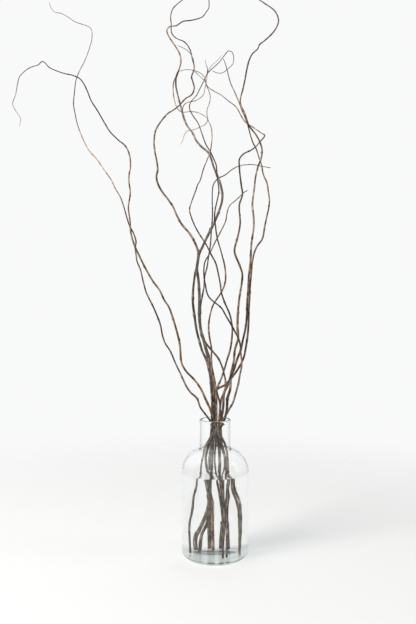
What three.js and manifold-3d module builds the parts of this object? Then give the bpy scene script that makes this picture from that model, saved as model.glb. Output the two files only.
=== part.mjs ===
// Dry corkscrew stems standing in a clear glass bottle vase of water.
// Millimetres, +Z up. The origin is the middle of the vase's foot, and the front is towards -Y.

import * as THREE from "three";
import { mergeVertices } from "three/addons/utils/BufferGeometryUtils.js";
import Module from "manifold-3d";

const wasm = await Module();
wasm.setup();

// The vase
const vaseHeight = 286;
const bodyRadius = 70;
const bodyTop = 177;
const domeMiddle = 20;
const neckFillet = 5;
const heelRadius = 14;
const footRadius = bodyRadius - heelRadius;
const neckRadius = 32;
const neckBottom = 234;
const lipRadius = 33.2;
const lipBottom = 277;
const wallThickness = 3.6;
const baseThickness = 8;
const vaseSides = 40;

// The water
const waterTop = 175;
const waterGap = 0.3;
const holeGap = 0.6;
const holeStart = 6;
const waterSmoothing = 0.1;

// The stems
const stemGap = 0.3;
const stemSides = 6;
const ringStep = 20;
const taperPower = 0.85;
const waveRise = 330;

// Where the eye stands that the stems' curls were read from: each point of a route is
// [across, up] as seen from there on the upright plane through the vase's axis. In the water the
// points are where the stem truly is, without the water's bending of what is seen.
const eyeAcross = -15;
const eyeUp = 540;
const eyeDistance = 1500;

// Each stem stands at foot: [across, back] on the vase's floor and follows its route upward.
// back is [up, back] for how far it lies behind the axis plane at each height, and wave adds
// its curl in depth: [reach, pitch, start]. thick is its diameter at the foot and at the tip.
// hook is [points, back]: over that many last points the tip drifts that far back, or forward.
// A twig grows from the point of the stem's route that its own route starts with, and its back
// is [share of its points, back] from there.
const stems = {
  stem_left_tall: {
    colour: 0x8a6238,
    thick: [5.9, 1.2],
    foot: [40.7, -10],
    route: [
      [39.3, 63.1], [38.9, 91], [34.3, 116.4], [27, 143.8], [26, 200], [22, 230], [11, 254], [2, 272],
      [-5.6, 291], [-11, 308], [-19, 326], [-30, 349], [-44, 369], [-61, 386], [-70.5, 403],
      [-73, 427], [-75.5, 449], [-82, 474], [-89.5, 498], [-97, 520], [-107, 536], [-117, 557],
      [-130, 575], [-149, 608], [-161, 633], [-169.5, 650], [-175, 668], [-177.5, 681], [-178.5, 700],
      [-182, 730], [-178, 759], [-181.5, 790], [-178, 821], [-181, 843], [-188.5, 859], [-203, 871],
      [-222, 890], [-231, 905], [-248, 935], [-260, 954], [-268, 974], [-276, 990], [-284, 1000],
      [-299, 1007], [-313, 1010], [-332, 1016], [-349, 1024], [-357, 1033], [-363, 1036], [-371, 1029],
      [-386, 1024], [-399, 1016], [-411, 1003], [-415, 987], [-419, 966], [-425, 947], [-418, 932],
      [-409, 918], [-410, 900],
    ],
    back: [
      [8, -10], [257, 7], [400, 12], [520, -14], [640, -19.5], [690, -27], [800, -42], [920, -30],
      [1036, -60],
    ],
    hook: [8, -22],
  },
  stem_left_thin: {
    colour: 0x6f5a44,
    thick: [4.7, 1.1],
    foot: [34.4, 16],
    route: [
      [36.7, 64.2], [37.2, 95.8], [34.7, 121.9], [28.6, 145.3], [26, 190], [20, 212], [15.5, 230],
      [5, 252], [-6, 274], [-13, 286], [-22, 298], [-31.5, 311], [-38.5, 329], [-52, 342], [-62, 357],
      [-74, 383], [-84, 404], [-94, 428], [-105, 446], [-110, 461], [-115, 485], [-128, 518],
      [-144, 550], [-151, 574], [-157, 600], [-164, 617], [-166, 630], [-168, 646], [-166.3, 658],
      [-171.5, 676], [-178, 688], [-184, 705], [-191, 730], [-199, 752], [-210, 771], [-218, 788],
      [-234, 811], [-248, 831], [-265, 850], [-281, 882], [-289, 904], [-294, 927], [-297, 946],
      [-295, 973], [-292, 997], [-285, 1016], [-274, 1037], [-264, 1064], [-258.5, 1086], [-260, 1104],
      [-267, 1110], [-281, 1115], [-293, 1119], [-308, 1129], [-323, 1137], [-337, 1140], [-345, 1150],
      [-348, 1161],
    ],
    back: [
      [8, 16], [257, 7], [400, 22], [540, -2], [640, -26], [690, -21.5], [780, 8], [1000, 28],
      [1161, 62],
    ],
  },
  stem_left_wavy: {
    colour: 0x4c3a2a,
    thick: [7, 1.8],
    foot: [-6.3, 48],
    route: [
      [-6.9, 68.9], [-7.1, 100], [-7.9, 139.9], [-12, 200], [-9, 230], [-8, 257], [-6.5, 285],
      [-5.5, 312], [-8, 350], [-10.5, 378], [-15, 400], [-20, 414], [-27, 429], [-31, 443],
      [-39.5, 475], [-43.5, 499], [-47, 532], [-46, 560], [-42, 590], [-38, 607], [-35.5, 628],
      [-37, 642], [-44, 659], [-53, 675], [-70.5, 696], [-83, 719], [-87, 729], [-99, 747],
      [-112.5, 765], [-121, 783], [-123, 796], [-120.5, 808], [-122, 824], [-127, 850], [-128, 870],
      [-124, 893], [-115, 909], [-100, 927], [-89, 934], [-77, 943], [-62, 959], [-49, 967],
      [-44, 980], [-47, 994], [-49.5, 1004], [-46, 1015], [-44, 1025], [-48, 1043], [-53, 1062],
      [-64, 1077], [-83, 1086], [-91, 1096], [-92, 1115], [-93, 1131], [-89, 1146], [-79, 1157],
      [-68, 1166], [-58, 1178], [-57, 1192], [-64, 1205],
    ],
    back: [
      [8, 48], [200, 27.4], [230, 23.8], [257, 21.3], [400, 34], [607, 48], [950, 88], [1205, 108],
    ],
    wave: [11, 175, 0.4],
  },
  stem_thick: {
    colour: 0x41352b,
    thick: [8.9, 1.7],
    foot: [8.3, 49],
    route: [
      [8.4, 50.4], [11.1, 89.2], [8.8, 130.1], [9, 200], [8, 230], [4, 257], [1, 285], [0, 310],
      [-1, 350], [-3, 371], [-6.5, 388], [-10.5, 403], [-15, 419], [-20, 435], [-24, 451], [-30, 470],
      [-33, 490], [-33.5, 520], [-33, 548], [-35, 577], [-38.5, 599], [-37.5, 613], [-33, 636],
      [-27.5, 646], [-21.5, 659], [-12, 678], [-1, 701], [8.5, 724], [14, 741], [15.5, 757],
      [10.5, 782], [3, 800], [-3, 815], [-8.5, 833], [-14, 845], [-29, 858], [-40, 871], [-47, 886],
      [-59, 902], [-67, 921], [-72, 941], [-79, 968], [-82.5, 989], [-81, 1006], [-76, 1020],
      [-72, 1035], [-74, 1051], [-84, 1069], [-97, 1088], [-101.5, 1101], [-96, 1109], [-81, 1111.5],
      [-68, 1120], [-48.5, 1123], [-27, 1130], [-19, 1140], [-13.5, 1149], [-13, 1165], [-12, 1183],
      [-4, 1199], [5, 1214],
    ],
    back: [
      [8, 49], [110, 37.7], [150, 31.7], [257, 18.5], [450, 30], [700, 44], [950, 62], [1214, 84],
    ],
    wave: [10, 190, 2.2],
    twigs: [
      {
        thick: [2.4, 1.2],
        route: [
          [-81, 1006], [-87, 993], [-88, 972], [-84, 950], [-78.5, 936], [-69, 930], [-52, 931],
          [-37, 929], [-21, 921], [-16, 914], [-20, 905], [-33, 898], [-46, 893], [-59, 890],
          [-64, 884], [-68, 871], [-73, 862],
        ],
        back: [[0, 0], [0.12, -8], [0.3, -22], [0.7, -34], [1, -40]],
      },
      {
        thick: [2.2, 1.1],
        route: [
          [-67, 921], [-68.5, 934], [-66, 944], [-59, 950], [-45, 953], [-37, 956], [-25, 966], [-21, 982],
          [-18, 997], [-16.5, 1009], [-12.5, 1021], [-6, 1029], [3, 1037], [13.5, 1049],
        ],
        back: [[0, 0], [0.2, -7], [1, -20]],
      },
    ],
  },
  stem_middle_hook: {
    colour: 0x57442f,
    thick: [5, 1.3],
    foot: [13.1, -30],
    route: [
      [13.3, 73.4], [10.6, 109.4], [7.3, 131.4], [-1, 203], [1, 230], [2, 257], [3, 285], [3, 312],
      [2, 345], [-3, 372], [-7, 394], [-8, 415], [-7.5, 434], [-11, 454], [-13.5, 479], [-12, 497],
      [-7, 519], [-2.5, 529], [3, 537], [13, 552], [20, 569], [22, 583], [20, 607], [13, 635],
      [4, 666], [0.5, 693], [-1, 709], [0, 724], [5, 747], [8, 763], [7, 776], [4.5, 795], [2, 819],
      [-5, 835], [-10.5, 847], [-20, 863], [-27.5, 884], [-36, 907], [-47, 923], [-53.5, 937],
      [-53, 946], [-49, 954], [-39, 965], [-31.5, 980], [-23, 997], [-16.5, 1011], [-7.5, 1020],
      [9, 1035], [18, 1047], [27.5, 1058], [35, 1056], [39, 1043], [37, 1031], [27, 1021],
      [16.5, 1013], [4.5, 1012], [-6, 1017],
    ],
    back: [[8, -30], [200, -12], [230, -7.5], [257, -5.6], [450, -8], [700, -10], [1000, -22]],
    wave: [9, 160, 1.1],
    hook: [7, -16],
    twigs: [
      {
        thick: [1.9, 1],
        route: [[-16.5, 1011], [-16, 1021], [-19, 1030], [-21.5, 1041]],
        back: [[0, 0], [1, -12]],
      },
    ],
  },
  stem_middle_thin: {
    colour: 0x5e4930,
    thick: [5.3, 1.1],
    foot: [19.4, -24],
    route: [
      [20.8, 63.3], [21.7, 107], [23.4, 126.8], [22.5, 146.7], [23, 194], [15, 221], [11, 240],
      [8, 257], [7.5, 272], [8, 288], [9.5, 306], [9, 322], [5.5, 334], [3.5, 344], [6, 356],
      [12, 369], [19, 389], [25, 410], [31, 430], [34.5, 452], [35.5, 478], [31, 504], [20, 530],
      [13, 551], [10.5, 570], [6, 593], [1, 613], [-9.5, 633], [-18.5, 651], [-25, 661], [-34.5, 676],
      [-43, 692], [-50, 710], [-53.5, 725], [-49.5, 741], [-40, 767], [-37, 777], [-31.5, 787],
      [-25, 810], [-16, 832], [-10, 848], [-7, 868], [-6.5, 884], [-8.5, 899], [-15, 914], [-17, 934],
      [-11.5, 950], [-10.5, 964], [-14, 976], [-19, 988], [-22, 1002], [-30, 1011], [-44, 1017],
      [-62, 1019], [-76, 1015],
    ],
    back: [[8, -24], [200, -21.5], [257, -22.5], [480, -46], [700, -70], [1019, -92]],
    wave: [10, 165, 3.6],
  },
  stem_short_left: {
    colour: 0x503d2c,
    thick: [5.4, 1.8],
    foot: [16.8, 40],
    route: [
      [15.8, 53.4], [15.8, 81.7], [14.9, 108.1], [15.4, 136.5], [20, 200], [15, 230], [13, 257],
      [12, 285], [11, 314], [13, 328], [19.5, 345], [22, 361], [19, 379], [14, 397], [7, 413],
      [-1, 423], [-11, 434], [-22, 450], [-29, 475], [-31, 500], [-30, 526], [-26.5, 545], [-23, 566],
      [-22, 584], [-17, 604], [-13.5, 628], [-9.5, 654], [-8, 680], [-5.5, 713], [-6, 742],
      [-5.5, 766], [-3, 779], [5.5, 790], [21, 798], [38, 811], [54, 818], [78, 820], [99, 816],
      [117, 813],
    ],
    back: [
      [8, 40], [110, 31.4], [150, 29.6], [200, 26], [230, 19.4], [257, 19.4], [290, 23.1], [330, 28],
      [450, 42], [700, 62], [820, 70],
    ],
    wave: [9, 150, 5.2],
  },
  stem_short_right: {
    colour: 0x64492c,
    thick: [5.4, 1.9],
    foot: [-38.3, 4],
    route: [
      [-41, 68.9], [-37, 98.1], [-35.2, 128.9], [-31, 149.9], [-29, 190], [-24, 212], [-19, 230],
      [-12, 244], [-3, 258], [8, 273], [17, 287], [22.5, 294], [29, 306], [37, 321], [43, 340],
      [48, 358], [52, 379], [55.5, 396], [56, 407], [54, 427], [53.5, 440], [49, 456], [43, 467],
      [33.5, 485], [24, 501], [13.5, 519], [7, 525], [-1, 531], [-11, 540], [-17, 551], [-20, 566],
      [-23, 582], [-23.5, 603], [-21, 617], [-13, 631], [2, 661], [11.5, 679], [22, 702], [24.5, 717],
      [30, 733], [46, 747], [61, 762], [69, 766],
    ],
    back: [
      [8, 4], [200, -15.5], [215, -16.2], [230, -15.6], [257, -17.5], [430, -26], [533, -30],
      [766, -52],
    ],
    wave: [10, 140, 0.9],
  },
  stem_right_thin: {
    colour: 0x5c4731,
    thick: [6, 1.9],
    foot: [-2.8, 33],
    route: [
      [-3.4, 66.9], [-3.2, 99.1], [-3.9, 119.6], [-6.5, 139.1], [-6, 200], [-4, 230], [-3, 257],
      [-2, 285], [-2, 316], [0, 343], [6, 350], [18, 356], [26.5, 362], [32, 370], [45, 387],
      [56, 406], [61, 419], [65, 441], [68.5, 466], [70.5, 491], [71, 510], [72.5, 540], [73, 560],
      [75.5, 588], [78, 614], [82, 635], [88, 649], [98.5, 664], [104, 690], [109.5, 715], [113, 730],
      [114, 744], [111, 766], [108.5, 782], [101, 799], [97, 820], [91, 838], [86, 854], [80, 865],
      [73.5, 885], [69, 902], [64.5, 915], [58, 930], [53, 943], [41, 972], [33.5, 988], [28.5, 1005],
      [23, 1026], [17, 1043],
    ],
    back: [[8, 33], [257, 12.7], [400, 20], [700, 30], [850, 40], [1043, 46]],
    wave: [10, 180, 4.4],
  },
  stem_right_loop: {
    colour: 0x4a3929,
    thick: [7, 1.2],
    foot: [-24.8, 31],
    route: [
      [-25.9, 44.6], [-18.3, 73.8], [-11.5, 98.5], [-9.4, 128.9], [-19.5, 205], [-17, 219], [-13, 232],
      [-6, 245], [3, 258], [13, 272], [20, 287], [24.5, 305], [26, 330], [31.5, 349], [32, 363],
      [33.5, 382], [38.5, 407], [41.5, 433], [48, 455], [47, 480], [48, 515], [52, 545], [56.5, 577],
      [56.5, 592], [50, 611], [41.5, 632], [40.5, 642], [47, 667], [52.5, 697], [51, 735], [57.5, 757],
      [55, 776], [50.5, 812], [51, 832], [60, 843], [72.5, 849], [83, 856], [95, 869], [104, 881],
      [96, 887], [83, 896], [64, 909], [55, 922], [44, 941], [27, 954], [12, 966], [-4, 975],
      [-15, 983], [-22.5, 996], [-34, 1007], [-43, 1017], [-44.5, 1031], [-46, 1042], [-51, 1051],
      [-59, 1060], [-79, 1070],
    ],
    back: [[8, 31], [257, 0.6], [430, 0], [700, 2], [870, 4], [1070, 20]],
    wave: [11, 200, 2.9],
  },
  stem_right_tall: {
    colour: 0x4f3d2b,
    thick: [5.8, 2.2],
    foot: [-21, 24],
    route: [
      [-18.6, 52.6], [-13.5, 67.5], [-9.7, 86.1], [-7.2, 125.1], [-8, 200], [-7, 230], [-2, 243],
      [4, 258], [9, 274], [13.5, 290], [17, 310], [19, 340], [26, 355], [33, 375], [39, 387],
      [46, 410], [54, 431], [58, 449], [64, 480], [66.5, 505], [67, 528], [69, 556], [71, 588],
      [74, 616], [76, 655], [80.5, 688], [80.5, 708], [78, 735], [81, 765], [85, 795], [91, 818],
      [96, 830], [98.5, 850], [95, 865], [85.5, 883], [70.5, 903], [62, 927], [53.5, 946], [53, 959],
      [58, 978], [63.5, 1002], [66.5, 1018], [72.5, 1041], [78, 1052], [89, 1063], [93, 1072],
      [104, 1080], [121, 1096], [131, 1113], [132.5, 1125], [125, 1142], [104, 1158], [90, 1168],
      [78, 1182], [76, 1197], [83, 1213],
    ],
    back: [[8, 24], [215, -11.5], [257, -11.8], [430, -18], [700, -30], [870, -40], [1213, -70]],
    wave: [11, 185, 5.9],
  },
};

const vaseMaterial = new THREE.MeshStandardMaterial({ color: 0xc9d2c8, roughness: 0.05, metalness: 0 });

const waterMaterial = new THREE.MeshStandardMaterial({ color: 0xdce8e8, roughness: 0.02, metalness: 0 });

function barkMaterial(colour) {
  return new THREE.MeshStandardMaterial({ color: colour, roughness: 0.8, metalness: 0 });
}

// A height-by-height value, eased from one step of the list to the next
function stepped(steps, at) {
  if (at <= steps[0][0]) {
    return steps[0][1];
  }
  for (let i = 1; i < steps.length; i += 1) {
    const [low, from] = steps[i - 1];
    const [high, to] = steps[i];
    if (at <= high) {
      return THREE.MathUtils.lerp(from, to, (at - low) / (high - low));
    }
  }
  return steps[steps.length - 1][1];
}

// The true place of a point that is seen at [across, up] and lies back behind the axis plane
function seen(across, up, back) {
  const spread = 1 + back / eyeDistance;
  return new THREE.Vector3(
    eyeAcross + (across - eyeAcross) * spread,
    back,
    eyeUp + (up - eyeUp) * spread,
  );
}

// How far a stem's curl in depth moves it at this height: none in the vase, growing above it
function waveAt(wave, up) {
  if (!wave) {
    return 0;
  }
  const [reach, pitch, start] = wave;
  const grown = THREE.MathUtils.smoothstep(up, vaseHeight, vaseHeight + waveRise);
  return reach * grown * Math.sin((2 * Math.PI * up) / pitch + start);
}

function routePoints(stem) {
  const [hookPoints, hookBack] = stem.hook ?? [1, 0];
  const hookStart = stem.route.length - 1 - hookPoints;
  return stem.route.map(([across, up], i) => {
    const drift = hookBack * Math.max(0, (i - hookStart) / hookPoints);
    return seen(across, up, stepped(stem.back, up) + waveAt(stem.wave, up) + drift);
  });
}

function stemPoints(stem) {
  const [footAcross, footBack] = stem.foot;
  const foot = new THREE.Vector3(footAcross, footBack, baseThickness + stemGap);
  return [foot, ...routePoints(stem)];
}

function twigPoints(stem, twig) {
  const [rootAcross, rootUp] = twig.route[0];
  const fork = stem.route.findIndex(([across, up]) => across === rootAcross && up === rootUp);
  const rootBack = routePoints(stem)[fork].y;
  const last = twig.route.length - 1;
  return twig.route.map(([across, up], i) => seen(across, up, rootBack + stepped(twig.back, i / last)));
}

// Points along a smooth curve through the given ones, about one step apart
function smoothRoute(points, step) {
  const curve = new THREE.CatmullRomCurve3(points, false, "centripetal");
  const spans = points.length - 1;
  const route = [];
  for (let i = 0; i < spans; i += 1) {
    const parts = Math.max(1, Math.round(points[i].distanceTo(points[i + 1]) / step));
    for (let k = 0; k < parts; k += 1) {
      route.push(curve.getPoint((i + k / parts) / spans));
    }
  }
  route.push(points[spans].clone());
  return route;
}

// A closed tapering tube: rings along the route, turned along with it, and a fan at each end.
// flatFoot lays the first ring level, as a stem that stands on its cut end.
function taperedTube(points, thick, flatFoot) {
  const route = smoothRoute(points, ringStep);
  const reach = [0];
  for (let i = 1; i < route.length; i += 1) {
    reach.push(reach[i - 1] + route[i].distanceTo(route[i - 1]));
  }
  const length = reach[reach.length - 1];
  const [thickFoot, thickTip] = thick;
  const vertices = [];
  const triangles = [];
  let side = new THREE.Vector3(1, 0, 0);
  route.forEach((centre, i) => {
    const before = route[Math.max(i - 1, 0)];
    const after = route[Math.min(i + 1, route.length - 1)];
    const along = flatFoot && i === 0
      ? new THREE.Vector3(0, 0, 1)
      : new THREE.Vector3().subVectors(after, before).normalize();
    side.addScaledVector(along, -side.dot(along)).normalize();
    const up = new THREE.Vector3().crossVectors(along, side);
    const share = 1 - reach[i] / length;
    const radius = (thickTip + (thickFoot - thickTip) * share ** taperPower) / 2;
    for (let k = 0; k < stemSides; k += 1) {
      const turn = (2 * Math.PI * k) / stemSides;
      const rim = centre.clone();
      rim.addScaledVector(side, radius * Math.cos(turn));
      rim.addScaledVector(up, radius * Math.sin(turn));
      vertices.push(rim.x, rim.y, rim.z);
    }
  });
  const rings = route.length;
  for (let i = 0; i < rings - 1; i += 1) {
    for (let k = 0; k < stemSides; k += 1) {
      const here = i * stemSides + k;
      const next = i * stemSides + ((k + 1) % stemSides);
      triangles.push(here, next, here + stemSides);
      triangles.push(next, next + stemSides, here + stemSides);
    }
  }
  for (let k = 1; k < stemSides - 1; k += 1) {
    const end = (rings - 1) * stemSides;
    triangles.push(0, k + 1, k);
    triangles.push(end, end + k, end + k + 1);
  }
  const geometry = new THREE.BufferGeometry();
  geometry.setAttribute("position", new THREE.Float32BufferAttribute(vertices, 3));
  geometry.setIndex(triangles);
  return geometry;
}

function toSolid(geometry) {
  const merged = mergeVertices(geometry);
  return new wasm.Manifold(new wasm.Mesh({
    numProp: 3,
    vertProperties: merged.attributes.position.array,
    triVerts: new Uint32Array(merged.index.array),
  }));
}

function toGeometry(solid) {
  const mesh = solid.getMesh();
  const geometry = new THREE.BufferGeometry();
  geometry.setAttribute("position", new THREE.Float32BufferAttribute(mesh.vertProperties, 3));
  geometry.setIndex([...mesh.triVerts]);
  return geometry;
}

function makeStem(stem) {
  const trunk = taperedTube(stemPoints(stem), stem.thick, true);
  let solid = toSolid(trunk);
  for (const twig of stem.twigs ?? []) {
    solid = solid.add(toSolid(taperedTube(twigPoints(stem, twig), twig.thick, false)));
  }
  const geometry = toGeometry(solid);
  geometry.computeVertexNormals();
  return new THREE.Mesh(geometry, barkMaterial(stem.colour));
}

// The shoulder from the top of the wall to the neck: a round dome, then a fillet up into the neck
function shoulderPoints(wall, neck, steps) {
  const dome = wall - domeMiddle;
  const end = Math.acos((neck + neckFillet - domeMiddle) / dome);
  const points = [];
  for (let i = 0; i <= steps; i += 1) {
    const turn = (end * i) / steps;
    points.push(new THREE.Vector2(
      domeMiddle + dome * Math.cos(turn),
      bodyTop + dome * Math.sin(turn),
    ));
  }
  const domeEnd = points[steps];
  const corner = new THREE.Vector2(neck, domeEnd.y + neckFillet / Math.tan(end));
  const fillet = new THREE.QuadraticBezierCurve(domeEnd, corner, new THREE.Vector2(neck, neckBottom));
  points.push(...fillet.getPoints(3).slice(1));
  return points;
}

// Half the vase's section, from the middle of its underside round its lip to the middle of its floor
function vaseProfile() {
  const inner = bodyRadius - wallThickness;
  const innerHeel = heelRadius - wallThickness;
  const innerNeck = neckRadius - wallThickness;
  const profile = [new THREE.Vector2(0, 0)];
  for (let i = 0; i <= 4; i += 1) {
    const turn = (Math.PI / 2) * (i / 4);
    profile.push(new THREE.Vector2(
      footRadius + heelRadius * Math.sin(turn),
      heelRadius * (1 - Math.cos(turn)),
    ));
  }
  profile.push(...shoulderPoints(bodyRadius, neckRadius, 6));
  profile.push(new THREE.Vector2(neckRadius, lipBottom));
  profile.push(new THREE.Vector2(lipRadius, lipBottom + 3.5));
  profile.push(new THREE.Vector2(lipRadius - 0.6, vaseHeight - 1.4));
  profile.push(new THREE.Vector2(lipRadius - 2.2, vaseHeight));
  profile.push(new THREE.Vector2(innerNeck + 0.6, vaseHeight - 1.2));
  profile.push(new THREE.Vector2(innerNeck, lipBottom + 3));
  profile.push(...shoulderPoints(inner, innerNeck, 5).reverse());
  for (let i = 0; i <= 3; i += 1) {
    const turn = (Math.PI / 2) * (1 - i / 3);
    profile.push(new THREE.Vector2(
      inner - innerHeel + innerHeel * Math.sin(turn),
      baseThickness + innerHeel * (1 - Math.cos(turn)),
    ));
  }
  profile.push(new THREE.Vector2(0, baseThickness));
  return profile;
}

function makeVase() {
  const geometry = new THREE.LatheGeometry(vaseProfile(), vaseSides);
  geometry.rotateX(Math.PI / 2);
  return new THREE.Mesh(geometry, vaseMaterial);
}

// Half the water's section: its floor, its rounded edge, its side and its level surface
function waterProfile() {
  const side = bodyRadius - wallThickness - waterGap;
  const heel = heelRadius - wallThickness - waterGap;
  const bottom = baseThickness + waterGap;
  const profile = [[0, bottom]];
  for (let i = 0; i <= 3; i += 1) {
    const turn = (Math.PI / 2) * (i / 3);
    profile.push([side - heel + heel * Math.sin(turn), bottom + heel * (1 - Math.cos(turn))]);
  }
  profile.push([side, waterTop]);
  profile.push([0, waterTop]);
  return profile;
}

// A plain hole for a stem: its own tube, a little wider, and opened through the water's floor
function stemHole(stem) {
  const wide = stem.thick.map((thick) => thick + 2 * holeGap);
  const [across, back] = stem.foot;
  const start = wasm.Manifold.cylinder(holeStart, wide[0] / 2, wide[0] / 2, stemSides);
  const tube = toSolid(taperedTube(stemPoints(stem), wide, true));
  return tube.add(start.translate([across, back, baseThickness + 2 * stemGap - holeStart]));
}

function makeWater() {
  let solid = wasm.Manifold.revolve([waterProfile()], vaseSides);
  for (const stem of Object.values(stems)) {
    solid = solid.subtract(stemHole(stem));
  }
  const geometry = toGeometry(solid.asOriginal().simplify(waterSmoothing));
  geometry.computeVertexNormals();
  return new THREE.Mesh(geometry, waterMaterial);
}

const arrangement = new THREE.Group();
const vase = makeVase();
vase.name = "vase";
arrangement.add(vase);
const water = makeWater();
water.name = "water";
arrangement.add(water);
for (const [name, stem] of Object.entries(stems)) {
  const mesh = makeStem(stem);
  mesh.name = name;
  arrangement.add(mesh);
}

export default arrangement;
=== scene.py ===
# Dry corkscrew stems in a clear glass bottle vase of water, dressed round its fixed frame.
import math

import bpy
import numpy as np
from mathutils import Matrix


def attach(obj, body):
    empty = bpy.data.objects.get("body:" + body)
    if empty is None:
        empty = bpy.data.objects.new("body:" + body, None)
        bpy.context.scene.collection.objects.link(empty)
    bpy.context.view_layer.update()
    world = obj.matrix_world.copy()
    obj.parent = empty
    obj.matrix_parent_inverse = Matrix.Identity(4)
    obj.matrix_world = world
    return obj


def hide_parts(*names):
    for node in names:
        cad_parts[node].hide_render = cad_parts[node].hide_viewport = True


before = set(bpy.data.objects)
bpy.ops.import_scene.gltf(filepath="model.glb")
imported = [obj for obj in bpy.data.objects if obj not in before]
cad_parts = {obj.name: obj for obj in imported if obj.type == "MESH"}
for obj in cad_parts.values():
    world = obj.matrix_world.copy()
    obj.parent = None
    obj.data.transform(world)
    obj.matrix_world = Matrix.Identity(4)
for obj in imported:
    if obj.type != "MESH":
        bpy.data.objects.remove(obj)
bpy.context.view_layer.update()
millimetre = 0.001


# Camera, at the place that the picture was taken from. The eye's place is in millimetres.

eye = {"across": -15, "up": 540, "distance": 1500}

cameraSetup = {
    "imageHeight": 624,
    "focalPixels": 715,
    "horizonPixel": 298,
    "sensor": 36,
    "nearest": 0.02,
}


def makeCamera(setup):
    data = bpy.data.cameras.new("pictureCamera")
    data.sensor_width = setup["sensor"]
    data.lens = setup["sensor"] * setup["focalPixels"] / setup["imageHeight"]
    data.shift_y = (setup["horizonPixel"] - setup["imageHeight"] / 2) / setup["imageHeight"]
    data.clip_start = setup["nearest"]
    camera = bpy.data.objects.new("pictureCamera", data)
    camera.location = [millimetre * v for v in (eye["across"], -eye["distance"], eye["up"])]
    camera.rotation_euler = (math.pi / 2, 0, 0)
    bpy.context.scene.collection.objects.link(camera)
    bpy.context.scene.camera = camera


makeCamera(cameraSetup)
print("camera set")


# Shader maths: a Wire is a socket, and sums on wires add their nodes

class Wire:
    def __init__(self, shader, socket):
        self.shader = shader
        self.socket = socket

    def work(self, operation, first, second):
        plain = all(isinstance(v, (int, float)) or isinstance(v, Wire) and v.socket.type == "VALUE"
                    for v in (first, second))
        kind = "ShaderNodeMath" if plain else "ShaderNodeVectorMath"
        return self.shader.add(kind, {"operation": operation}, {0: first, 1: second})

    def __add__(self, other):
        return self.work("ADD", self, other)

    def __radd__(self, other):
        return self.work("ADD", other, self)

    def __sub__(self, other):
        return self.work("SUBTRACT", self, other)

    def __rsub__(self, other):
        return self.work("SUBTRACT", other, self)

    def __mul__(self, other):
        return self.work("MULTIPLY", self, other)

    def __rmul__(self, other):
        return self.work("MULTIPLY", other, self)


class Shader:
    def __init__(self, tree):
        self.tree = tree
        tree.nodes.clear()

    def add(self, kind, settings=None, values=None, output=0):
        node = self.tree.nodes.new(kind)
        for name, value in (settings or {}).items():
            setattr(node, name, value)
        for name, value in (values or {}).items():
            if isinstance(value, Wire):
                self.tree.links.new(value.socket, node.inputs[name])
            else:
                node.inputs[name].default_value = value
        return Wire(self, node.outputs[output]) if node.outputs else None

    def noise(self, place, scale, detail=3, roughness=0.55, distortion=0.0):
        return self.add("ShaderNodeTexNoise", None, {
            "Vector": place, "Scale": scale, "Detail": detail, "Roughness": roughness,
            "Distortion": distortion,
        })

    def level(self, value, low, high, toLow=0.0, toHigh=1.0):
        return self.add("ShaderNodeMapRange", {"clamp": True}, {
            "Value": value, "From Min": low, "From Max": high, "To Min": toLow, "To Max": toHigh,
        })

    def mix(self, share, first, second):
        first, second = [v if isinstance(v, Wire) else (*v, 1) for v in (first, second)]
        return self.add("ShaderNodeMix", {"data_type": "RGBA"}, {0: share, 6: first, 7: second}, 2)

    def attribute(self, name, output):
        return self.add("ShaderNodeAttribute", {"attribute_name": name}, None, output)

    def bump(self, height, strength, distance):
        return self.add("ShaderNodeBump", None, {
            "Height": height, "Strength": strength, "Distance": distance,
        })


def newMaterial(name):
    material = bpy.data.materials.new(name)
    material.use_nodes = True
    return material, Shader(material.node_tree)


# Bark: each look has its own ground, warm, pale and dark colours

barkLooks = {
    "golden_bark": {
        "ground": (0.052, 0.03, 0.017), "warm": (0.35, 0.195, 0.086), "pale": (0.66, 0.47, 0.29),
        "dark": (0.016, 0.01, 0.008), "shine": 0.6,
    },
    "brown_bark": {
        "ground": (0.042, 0.026, 0.017), "warm": (0.3, 0.175, 0.09), "pale": (0.58, 0.43, 0.31),
        "dark": (0.013, 0.009, 0.008), "shine": 0.55,
    },
    "dark_bark": {
        "ground": (0.03, 0.02, 0.015), "warm": (0.26, 0.155, 0.09), "pale": (0.54, 0.41, 0.32),
        "dark": (0.01, 0.008, 0.008), "shine": 0.65,
    },
    "grey_bark": {
        "ground": (0.045, 0.03, 0.021), "warm": (0.29, 0.175, 0.095), "pale": (0.58, 0.46, 0.36),
        "dark": (0.016, 0.012, 0.01), "shine": 0.5,
    },
}

# A band is where a noise turns from nothing to full, and a share is how much of it is mixed in
barkGrain = {
    "streakScale": 1400, "streakStretch": 0.07, "streakBand": (0.5, 0.7), "streakShare": 0.7,
    "furrowScale": 700, "furrowStretch": 0.045, "furrowBand": (0.36, 0.47), "furrowShare": 0.55,
    "patchScale": 38, "patchStretch": 0.6, "patchBand": (0.36, 0.66),
    "blotchScale": 190, "blotchStretch": 0.45,
    "paleBand": (0.53, 0.64), "paleShare": 0.6,
    "darkBand": (0.41, 0.49), "darkShare": 0.85,
    "lenticelScale": 430, "lenticelStretch": 0.55, "lenticelShare": 0.6,
    "lenticelSize": (0.14, 0.26), "lenticelBand": (0.44, 0.6),
    "knotShare": 0.65,
    "ringScale": 900,
    "ashen": (0.27, 0.24, 0.215), "ashenBand": (0.3, 0.7), "ashenRange": (0.55, 0.95),
    "woodPale": (0.42, 0.3, 0.17), "woodDark": (0.24, 0.145, 0.075),
    # The wet tint darkens damp bark, and up in the neck it is painted shade
    "wetAndNeckShadeTint": (0.32, 0.28, 0.23), "wetAndNeckShadeBand": (0.45, 0.6),
    "dull": 0.8, "polish": 0.42, "ashenDull": 0.12,
    "specular": 0.3,
    "streakRelief": 0.5, "furrowRelief": 0.7, "lenticelRelief": 0.35,
    "reliefStrength": 0.5, "reliefDepth": 0.0003,
}


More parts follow.
